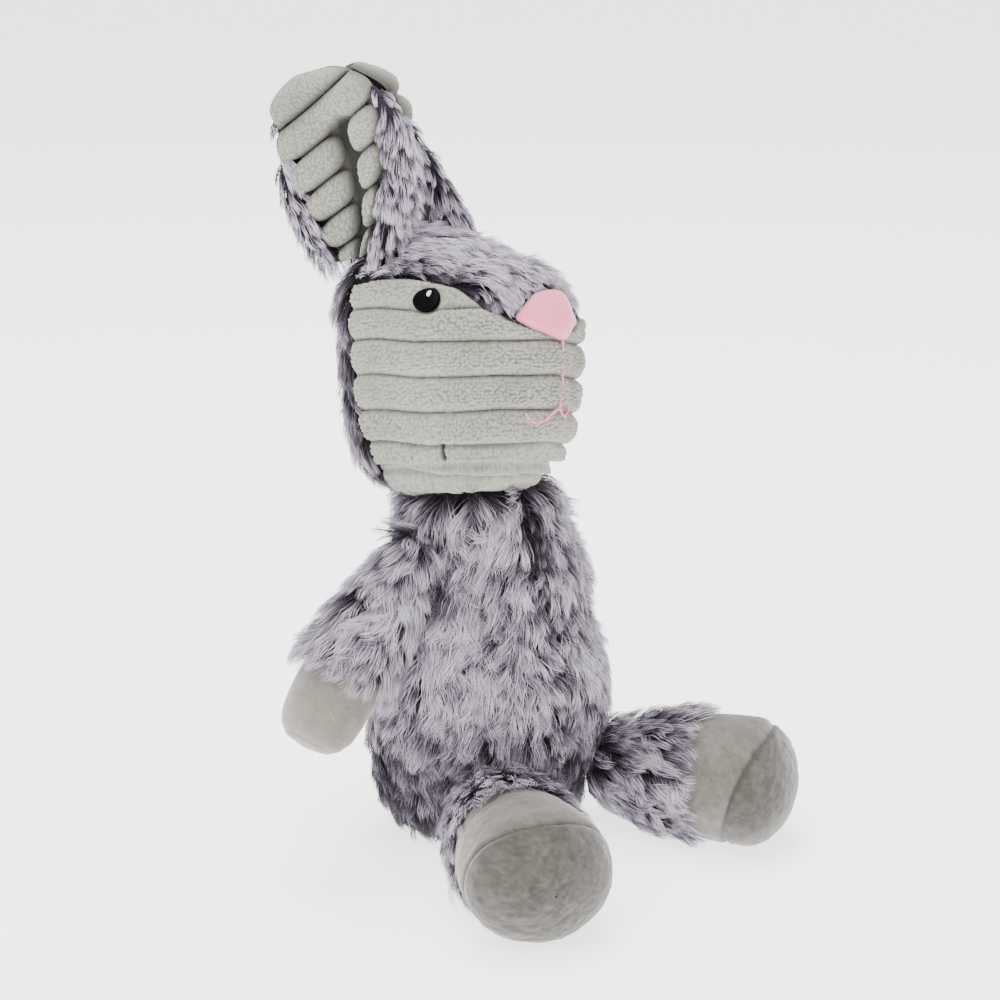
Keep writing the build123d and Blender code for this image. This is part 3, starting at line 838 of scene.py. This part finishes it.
for side, (root, tip, faces_to) in EARS.items():
    body = "ear_" + side
    start = to_world(np.array(root))
    tall = np.linalg.norm(HEAD_AT + tip - start)
    rise = (HEAD_AT + tip - start) / tall
    across = unit(np.cross(faces_to, rise))
    front = np.cross(rise, across)
    place_ear = np.stack([across, front, rise])

    near = side == "right"
    across_by, back_by = ([0, 1.8, 3.6, 5, 5.6, 3.4], 0) if near else ([0, 0, 0, 0, 0, 0], 3.5)

    def ear_world(p):
        share = p[..., 2] / tall
        bent = smooth_line(share, [0, 0.25, 0.45, 0.65, 0.8, 1], across_by)
        back = back_by * step(0.05, 0.6, share)
        return start + (p - np.stack([bent, back, 0 * bent], -1)) @ place_ear

    # furry back
    r = EAR_ROUND - 1.8
    h = np.linspace(0.5, tall - 1.5, 90)[:, None]
    t = np.linspace(-1, 1, 60)[None, :]
    most = np.arcsin(np.clip(ear_half(h / tall) / EAR_ROUND, 0, 1))
    most = 0.95 * np.minimum(most, np.arccos(LIP / EAR_ROUND))
    a = t * most
    outward = np.stack([np.sin(a), -np.cos(a), 0 * a], -1)
    p = np.stack([r * np.sin(a), SPINE - r * np.cos(a), h + 0 * a], -1)
    p = p + outward * lumps(p, 12, 51)[..., None] * 0.5
    shell = ear_world(p)
    outward = outward @ place_ear
    middle = ear_world(np.stack([0 * a, SPINE + 0 * a, h + 0 * a], -1))
    piece = cloth(f"ear_{side}_outer_cloth", shell, middle, body, BACKING, hem=0.3, outward=outward)
    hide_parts(f"ear_{side}_outer")
    place, normal = scatter(shell, outward, 2.2)
    q = (place - start) @ place_ear.T
    rim = step(10, 14.5, np.abs(q[:, 0]))
    n = len(place)
    flow = (-rise)[None] + 0.35 * (across[None] * np.sign(q[:, :1])) * rim[:, None]
    length = 10 + rng.normal(0, 1, n) - 2 * step(tall - 14, tall, q[:, 2]) - 2 * step(10, 2, q[:, 2])
    lift = 3.6 - 0.8 * rim + rng.normal(0, 0.5, n)
    streak = lumps(np.stack([q[:, 0], q[:, 1], q[:, 2] * 0.3], -1), 4.5, 52)
    tone = 0.54 + 0.36 * streak - 0.25 * step(tall - 10, tall, q[:, 2])
    fur = coat(f"ear_{side}_outer_fur", place, normal, flow, length, lift, tone, body, per=15, droop=0.8,
               curl=0.6, wander=0.25, spread=1.3)

    # the furry rims, rolled forward beside the lining
    h = np.linspace(0.02, 0.84, 70)[:, None] * tall
    for rim_side, radii in ((-1, (3.0, 5.0, 4.4, 3.0, 0.8)), (1, (2.6, 3.2, 2.4, 0.8, 0.5))):
        r = smooth_line(h / tall, [0, 0.25, 0.5, 0.7, 0.84], radii)
        a = np.linspace(-0.65 * np.pi, 0.72 * np.pi, 26)[None, :]
        outward = np.stack([rim_side * np.cos(a) + 0 * h, np.sin(a) + 0 * h, 0 * a + 0 * h], -1)
        apart = 1.15 if rim_side < 0 else 0.35
        beside = rim_side * (ear_half(h / tall) + apart * r) + 0 * a
        centre = np.stack([beside, 6.5 + 0 * beside, h + 0 * a], -1)
        p = centre + outward * (r + 0.3 * lumps(centre + outward * 5, 7, 53))[..., None]
        rim = ear_world(p)
        outward = outward @ place_ear
        name = f"ear_{side}_rim_{'inner' if rim_side < 0 else 'outer'}"
        piece = cloth(name + "_cloth", rim, ear_world(centre), body, BACKING, hem=0.3, outward=outward)
        place, normal = scatter(rim, outward, 2.0)
        q = (place - start) @ place_ear.T
        n = len(place)
        flow = np.broadcast_to(-rise - 0.25 * across * rim_side, normal.shape)
        length = 7 + rng.normal(0, 1, n) - 3 * step(0.6, 0.84, q[:, 2] / tall)
        lift = 2.6 + rng.normal(0, 0.5, n)
        tone = 0.66 + 0.3 * lumps(np.stack([q[:, 0], q[:, 1], q[:, 2] * 0.3], -1), 3.5, 54)
        fur = coat(name + "_fur", place, normal, flow, length, lift, tone, body, per=14, droop=0.6,
                   curl=0.6, wander=0.3, spread=1.1)

    # terry lining: two rolls across the tip, then two columns of rolls beside a deep fold
    h = np.linspace(1, tall - 0.4, 200)[:, None]
    t = np.linspace(-1, 1, 170)[None, :]
    share = h / tall
    half = ear_half(share) + 0.2
    x = t * half
    fold_x = -half * smooth_line(share, [0, 0.27, 0.5, 0.78, 1], [0.6, 0.48, 0.3, 0.14, 0.1])
    deep = step(tall - 14, tall - 19, h + 0.4 * (x - fold_x))
    right_side = x < fold_x
    lane = np.where(right_side, (fold_x - x) / (fold_x + half), (x - fold_x) / (half - fold_x))
    lane = np.abs(2 * np.clip(lane * 1.12 - 0.12, 0, 1) - 1)
    slope = np.where(right_side, 0.4, 0.42) * (x - fold_x)
    phase = (h + slope - tall - 3.5) / 10.8
    w = np.abs(2 * (phase - np.floor(phase)) - 1)
    ball = np.sqrt(np.clip(1 - lane ** 3 - w ** 3, 0, 1))
    long_roll = np.sqrt(np.clip(1 - (w / 0.98) ** 2.2, 0, 1)) * np.sqrt(np.clip(1 - np.abs(t) ** 4, 0, 1))
    roll = ball * deep + long_roll * (1 - deep)
    loops = nubs(x * 1.1 + 40, h, 1.15, 61)
    cup = 2.4 + 5.0 * (x / 14.2) ** 2 - (0 if near else 4.5) * step(0.75, 0.5, share)
    uneven = lumps(np.stack([x, h + 0 * x, 0 * x + 9], -1), 9, 62)
    y = cup - 1.8 + 8.0 * roll + 1.1 * loops * roll + 0.4 * uneven
    x = x * (1 + 0.08 * (1 - w ** 2) * step(0.4, 1, np.abs(t)))
    closing = np.sqrt(np.clip(1 - (np.clip(share - 0.84, 0, 1) / 0.16) ** 2, 0, 1))
    y = 1.5 + (y - 1.5) * closing
    lining = ear_world(np.stack([x, y, h + 0 * x], -1))
    # painted shade: darker between the rolls and loops, and darkest in the fold between the two columns
    painted_shade_and_nap = np.clip(0.85 * (1 - roll) ** 1.2 + 0.4 * (1 - loops) ** 1.5 * roll, 0, 1)
    painted_shade_and_nap = painted_shade_and_nap + 0.55 * deep * np.exp(-((x - fold_x) / 1.6) ** 2)
    piece = cloth(f"ear_{side}_lining_terry", lining, ear_world(np.array([0, -40.0, 40])), body, TERRY,
                  hem=1.0, painted_shade_and_nap=painted_shade_and_nap, outward=np.broadcast_to(front, lining.shape))
    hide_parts(f"ear_{side}_lining")


# ---------------------------------------------------------------- limbs
def limb_axes(way):
    """The level way across a limb, and the way square to it and to the limb."""
    flat = unit(np.array([-way[1], way[0], 0]))
    return flat, np.cross(way, flat)


def limb_grid(root, way, rings, rows, cols, inset, ends=None, dome=0):
    """Points, axis points and distances of a limb's skin.

    rings are (distance, half width, half depth). ends are the first and last distance, which may differ
    round the limb. dome is how far a rounded end stands out past the last ring.
    """
    wide, deep = limb_axes(way)
    rings = np.array(rings, float)
    first, last = ends or (rings[:1, 0], rings[-1:, 0])
    t = np.linspace(0, 1, rows)[:, None]
    at_end = dome > 0 and last.max() > rings[-1, 0] + 0.9 * dome
    d = first + (last - first) * (np.sin(t * np.pi / 2) if at_end else t)
    a = np.linspace(0, 2 * np.pi, cols, endpoint=False)[None, :]
    past = np.clip(d - rings[-1, 0], 0, None) / max(dome, 0.001)
    cap = np.sqrt(np.clip(1 - past ** 2, 0.0001, 1)) if dome else 1
    rx = np.maximum(smooth_line(d, rings[:, 0], rings[:, 1]) * cap - inset, 0.3)
    ry = np.maximum(smooth_line(d, rings[:, 0], rings[:, 2]) * cap - inset, 0.3)
    x, y = (rx * np.cos(a))[..., None], (ry * np.sin(a))[..., None]
    axis = root + way * d[..., None]
    return axis + wide * x + deep * y, axis + 0 * x, d + 0 * a


def sleeve(name, skin, axis):
    """A sleeve's backing, between the torso and its limb. Gives the places of its locks."""
    outward = grid_normals(skin, axis, True)
    piece = cloth(name + "_cloth", skin, axis, None, BACKING, closed=True, hem=1.2, outward=outward)
    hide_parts(name)
    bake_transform(piece)
    return scatter(wrap(skin), wrap(outward), 2.3)


for side in ("right", "left"):
    root, way = ARM_ROOT[side], ARM_WAY[side]
    body = "arm_" + side
    rings = [(-6, 1.9, 1.9), (-3.5, 5.6, 5.6), (1, 7.4, 7.4), (6, 7.8, 7.8), (12, 9.4, 9.4),
             (20, 11.0, 11.0), (30, 12.4, 12.4), (41, 12.9, 12.9)]
    skin, axis, d = limb_grid(root, way, rings, 44, 64, 1.6)
    skin = skin + unit(skin - axis) * lumps(skin, 9, 71)[..., None] * 0.6
    ends = (root * MM, (root + way * 13) * MM)
    place, normal = sleeve(f"arm_{side}_sleeve", skin, axis)
    n = len(place)
    far = (place - root) @ way
    flow = way[None] + 0.12 * normal
    length = 12.5 + rng.normal(0, 1.5, n) - 2 * step(33, 41, far)
    lift = 4.6 + 1.6 * step(24, 38, far) + rng.normal(0, 0.6, n)
    tone = 0.6 + 0.26 * lumps(place, 8, 72) + 0.2 * lumps(place, 2.8, 73)
    fur = coat(f"arm_{side}_sleeve_fur", place, normal, flow, length, lift, tone, None, per=20, droop=0.0,
               curl=1.3, wander=0.5)
    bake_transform(fur)

    rings = [(36, 10.6, 10.6), (40, 11.8, 11.6), (50, 13.8, 12.3), (58, 13.6, 11.3), (63, 12.0, 9.6),
             (66.5, 9.2, 7), (68.2, 5.2, 4), (68.8, 0.3, 0.3)]
    skin, axis, d = limb_grid(root, way, rings, 90, 110, 0)
    q = np.stack([d, skin[..., 0], skin[..., 2]], -1)
    skin = skin + unit(skin - axis) * (0.5 * lumps(q, 9, 74) + 0.12 * lumps(q, 2.2, 75))[..., None]
    piece = cloth(f"paw_{side}_velour", skin, axis, body, PAW_VELOUR, closed=True, hem=1.0,
                  painted_shade_and_nap=0.25 * (0.5 + 0.5 * lumps(q, 3, 76)), outward=unit(skin - axis))
    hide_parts(f"paw_{side}")

    root, way = HIP[side], LEG_WAY[side]
    body = "leg_" + side
    rings = [(2, 12.5, 12.5), (8, 13.2, 13.2), (14, 14.8, 14.8), (19, 16.6, 16.6), (25, 17.6, 17.6),
             (32, 18.0, 18.0)]
    skin, axis, d = limb_grid(root, way, rings, 40, 84, 1.8)
    skin = skin + unit(skin - axis) * lumps(skin, 10, 77)[..., None] * 0.6
    ends = ((root + way * 2) * MM, (root + way * 16) * MM)
    place, normal = sleeve(f"leg_{side}_sleeve", skin, axis)
    n = len(place)
    far = (place - root) @ way
    under = step(5, 1, place[:, 2])
    flow = way[None] + 0.1 * normal - np.array([0, 0, 0.25])
    length = 10.5 + rng.normal(0, 1.2, n)
    lift = (4.4 + 1.6 * step(22, 30, far) + rng.normal(0, 0.6, n)) * (1 - 0.6 * under)
    tone = 0.42 + 0.26 * lumps(place, 7, 78) + 0.18 * lumps(place, 2.8, 79) + 0.1 * step(24, 31, far)
    fur = coat(f"leg_{side}_sleeve_fur", place, normal, flow, length, lift, tone, None, per=19, droop=0.5,
               curl=1.3, wander=0.55)
    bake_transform(fur)

    rings = [(28, 16.5, 16.4), (31, 18.2, 18.0), (39, 20.8, 19.6), (47, 22.2, 20.2), (53, 22.4, 20.4)]
    around = np.linspace(0, 2 * np.pi, 150, endpoint=False)
    sole_seam = 52.5 + 5.5 * np.sin(around) - 1.5 * np.cos(2 * around)
    sole_dome, sole_end = 15.1, 68.1
    for part, ends, rows in (("upper", (28 + 0 * around, sole_seam), 80),
                             ("sole", (sole_seam, sole_end + 0 * around), 70)):
        skin, axis, d = limb_grid(root, way, rings, rows, 150, 0, ends, sole_dome)
        centre = axis if part == "upper" else axis * 0 + root + way * 40
        out = unit(skin - centre)
        q = np.stack([d, skin[..., 0] - root[0], skin[..., 2]], -1)
        seam = np.exp(-((d - sole_seam) / 0.9) ** 2)
        relief = 0.45 * lumps(q, 11, 80) + 0.2 * lumps(q, 1.6, 81) - 1.0 * seam
        skin = skin + out * relief[..., None]
        skin[..., 2] = np.maximum(skin[..., 2], FLOOR_GAP)
        nap = 0.35 * (0.5 + 0.5 * lumps(q, 3, 82)) + 0.25 * lumps(q * [0.4, 1, 1], 0.9, 83)
        # the nap term is the velour's own mottling; the seam term is painted shade in the seam's groove, and
        # the sole's 0.6 is painted shade over the whole sole
        piece = cloth(f"foot_{side}_{part}_velour", skin, centre, body, FOOT_VELOUR, closed=True, hem=1.2,
                      painted_shade_and_nap=np.clip(nap + 0.7 * seam + (0.6 if part == "sole" else 0), 0, 1), outward=out)
        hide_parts(f"foot_{side}_{part}")


# ---------------------------------------------------------------- stuffing
def filling(name, skin, middle, body, node):
    """A lumpy mass of fibre inside a cover."""
    piece = cloth(name, skin, middle, body, FIBRE, closed=True, hem=0.5)
    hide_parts(node)
    return piece


z = np.linspace(4, 100, 60)[:, None]
a = np.linspace(0, 2 * np.pi, 90, endpoint=False)[None, :]
closing = 5 + 14 * np.exp(-((z - 4) / 3.0)) + 12 * np.exp(-((100 - z) / 3.0))
p = torso_at(z + 0 * a, a + 0 * z, closing + 0 * a)
p = p + unit(p - [0, 0, 50]) * (0.9 * lumps(p, 8, 91) + 0.4 * lumps(p, 3, 92))[..., None]
filling("torso_stuffing_fibre", p, np.array([0, 0, 50.0]), "torso", "torso_stuffing")
s = np.linspace(0, ROUND_IT, 110, endpoint=False)[None, :]
v = np.linspace(0.5, DOWN[-1] - 0.5, 70)[:, None]
p = head_at(s + 0 * v, v + 0 * s, 5.5)
n = grid_normals(p, np.zeros(3), True)
p = p + n * (0.9 * lumps(p, 8, 93) + 0.4 * lumps(p, 3, 94))[..., None]
filling("head_stuffing_fibre", to_world(p), HEAD_AT, "head", "head_stuffing")
for side in ("right", "left"):
    for limb, root, way, rings in (
        ("arm", ARM_ROOT[side], ARM_WAY[side],
         [(8, 1, 1), (11, 5, 5), (22, 6.5, 6.5), (40, 8, 8), (52, 10, 9), (60, 8, 7), (65, 1, 1)]),
        ("leg", HIP[side], LEG_WAY[side],
         [(11, 1, 1), (15, 9, 9), (24, 13, 13), (40, 17, 16), (52, 18, 16.5), (60, 12, 11), (63, 1, 1)]),
    ):
        p, axis, d = limb_grid(root, way, rings, 50, 60, 0)
        p = p + unit(p - axis) * (0.7 * lumps(p, 7, 95) + 0.3 * lumps(p, 3, 96))[..., None]
        filling(f"{limb}_{side}_stuffing_fibre", p, axis, f"{limb}_{side}", f"{limb}_{side}_stuffing")

# ---------------------------------------------------------------- floor, light and camera
floor_material, nodes, links, shader = base_material("studio_floor", 0.9, 0.0)
shader.inputs["Base Color"].default_value = (0.93, 0.93, 0.935, 1)
shader.inputs["Emission Color"].default_value = (1, 1, 1, 1)
shader.inputs["Emission Strength"].default_value = 2.2
bpy.ops.mesh.primitive_plane_add(size=30, location=(0, 0, 0))
floor = bpy.context.object
floor.name = "studio_floor"
floor.data.materials.append(floor_material)

world = bpy.data.worlds.new("studio")
bpy.context.scene.world = world
world.use_nodes = True
world.node_tree.nodes["Background"].inputs["Color"].default_value = (1, 1, 1, 1)
world.node_tree.nodes["Background"].inputs["Strength"].default_value = 0.85


def area_light(name, at, size, power):
    lamp = bpy.data.lights.new(name, "AREA")
    lamp.size = size
    lamp.energy = power
    light = bpy.data.objects.new(name, lamp)
    light.location = at
    light.rotation_euler = (Vector((0, 0, 0.12)) - Vector(at)).to_track_quat("-Z", "Y").to_euler()
    bpy.context.scene.collection.objects.link(light)


area_light("key_light", (-0.9, -0.3, 1.5), 0.9, 22)
area_light("top_light", (0.2, 0.3, 1.8), 1.0, 36)

camera_data = bpy.data.cameras.new("camera")
camera_data.lens = 78.12
camera_data.sensor_width = 36
camera = bpy.data.objects.new("camera", camera_data)
target = Vector((0, -0.008, 0.1105))
camera.location = target + 0.680 * Vector((-0.68139, -0.68139, 0.26724))
camera.rotation_euler = (target - camera.location).to_track_quat("-Z", "Y").to_euler()
bpy.context.scene.collection.objects.link(camera)
bpy.context.scene.camera = camera
